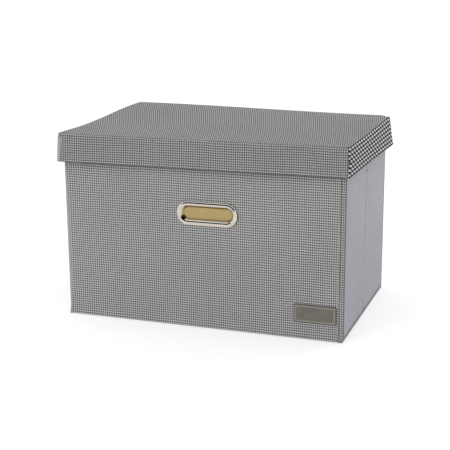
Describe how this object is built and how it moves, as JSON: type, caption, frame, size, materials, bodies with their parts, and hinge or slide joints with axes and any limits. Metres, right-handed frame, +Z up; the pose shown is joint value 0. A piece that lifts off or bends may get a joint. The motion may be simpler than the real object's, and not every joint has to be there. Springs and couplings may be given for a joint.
{
  "type": "foldable storage box with lid",
  "caption": "Rectangular cloth-covered board box with concertina end walls that fold flat, a recessed metal pull and a lift-off lid with a deep skirt.",
  "frame": {"origin": "centre of the base's footprint, on the floor", "axes": "+Z up, front wall with the pull faces -Y, +X to the right seen from the front"},
  "size_m": [0.3906, 0.268, 0.248],
  "materials": {
    "check_cloth": "fine black and white check weave, matt",
    "bold_check_cloth": "larger black and white check set on the bias, matt",
    "plain_cloth": "plain lavender grey, fine weave, matt",
    "lining_cloth": "pale grey non-woven lining, matt",
    "greyboard": "cut greyboard",
    "patch_leather": "taupe leatherette with a stitched border",
    "nickel": "polished warm nickel plate",
    "gilt_metal": "satin gilt pressed sheet",
    "clamp_steel": "zinc-plated sheet"
  },
  "bodies": {
    "base_panel": {"base_board": "greyboard", "base_cloth": "plain_cloth", "base_lining": "lining_cloth"},
    "back_wall": {"back_wall_board": "greyboard", "back_wall_cloth": "check_cloth", "back_wall_lining": "lining_cloth"},
    "right_rear": {"right_rear_board": "greyboard", "right_rear_cloth": "plain_cloth", "right_rear_lining": "lining_cloth"},
    "right_front": {"right_front_board": "greyboard", "right_front_cloth": "plain_cloth", "right_front_lining": "lining_cloth"},
    "front_wall": {"front_wall_board": "greyboard", "front_wall_cloth": "check_cloth", "front_wall_lining": "lining_cloth", "front_left_binding": "plain_cloth", "front_right_welt": "check_cloth", "front_patch": "patch_leather", "pull_rim": "nickel", "pull_dish": "gilt_metal", "pull_clamp_ring": "clamp_steel"},
    "left_rear": {"left_rear_board": "greyboard", "left_rear_cloth": "plain_cloth", "left_rear_lining": "lining_cloth"},
    "left_front": {"left_front_board": "greyboard", "left_front_cloth": "plain_cloth", "left_front_lining": "lining_cloth"},
    "lid": {"lid_top_board": "greyboard", "lid_top_cloth": "check_cloth", "lid_top_lining": "lining_cloth", "lid_front_skirt_board": "greyboard", "lid_front_skirt_cloth": "check_cloth", "lid_left_corner_binding": "plain_cloth", "lid_back_skirt_board": "greyboard", "lid_back_skirt_cloth": "check_cloth", "lid_right_skirt_board": "greyboard", "lid_right_skirt_cloth": "bold_check_cloth", "lid_left_skirt_board": "greyboard", "lid_left_skirt_cloth": "bold_check_cloth"}
  },
  "joints": [
    {"name": "base_flap", "type": "hinge", "parent": "base_panel", "child": "back_wall", "pos_m": [0, 0.1245, 0.00455], "axis": [1, 0, 0], "range_deg": [-88, 0]},
    {"name": "wall_fold", "type": "hinge", "parent": "back_wall", "child": "right_rear", "pos_m": [0.1841, 0.1191, 0.124], "axis": [0, 0, 1], "range_deg": [-90, 0]},
    {"name": "right_crease", "type": "hinge", "parent": "right_rear", "child": "right_front", "pos_m": [0.1895, 0, 0.124], "axis": [0, 0, 1], "range_deg": [0, 180]},
    {"name": "front_right_corner", "type": "hinge", "parent": "right_front", "child": "front_wall", "pos_m": [0.1841, -0.1191, 0.124], "axis": [0, 0, 1], "range_deg": [-90, 0]},
    {"name": "back_left_corner", "type": "hinge", "parent": "back_wall", "child": "left_rear", "pos_m": [-0.1841, 0.1191, 0.124], "axis": [0, 0, 1], "range_deg": [0, 90]},
    {"name": "left_crease", "type": "hinge", "parent": "left_rear", "child": "left_front", "pos_m": [-0.1895, 0, 0.124], "axis": [0, 0, 1], "range_deg": [-180, 0]},
    {"name": "lid_lift", "type": "slide", "parent": "back_wall", "child": "lid", "axis": [0, 0, 1], "range_m": [0, 0.15]}
  ],
  "couplings": [
    {"joint": "right_crease", "follows": "wall_fold", "ratio": -2},
    {"joint": "front_right_corner", "follows": "wall_fold", "ratio": 1},
    {"joint": "back_left_corner", "follows": "wall_fold", "ratio": -1},
    {"joint": "left_crease", "follows": "wall_fold", "ratio": 2}
  ]
}
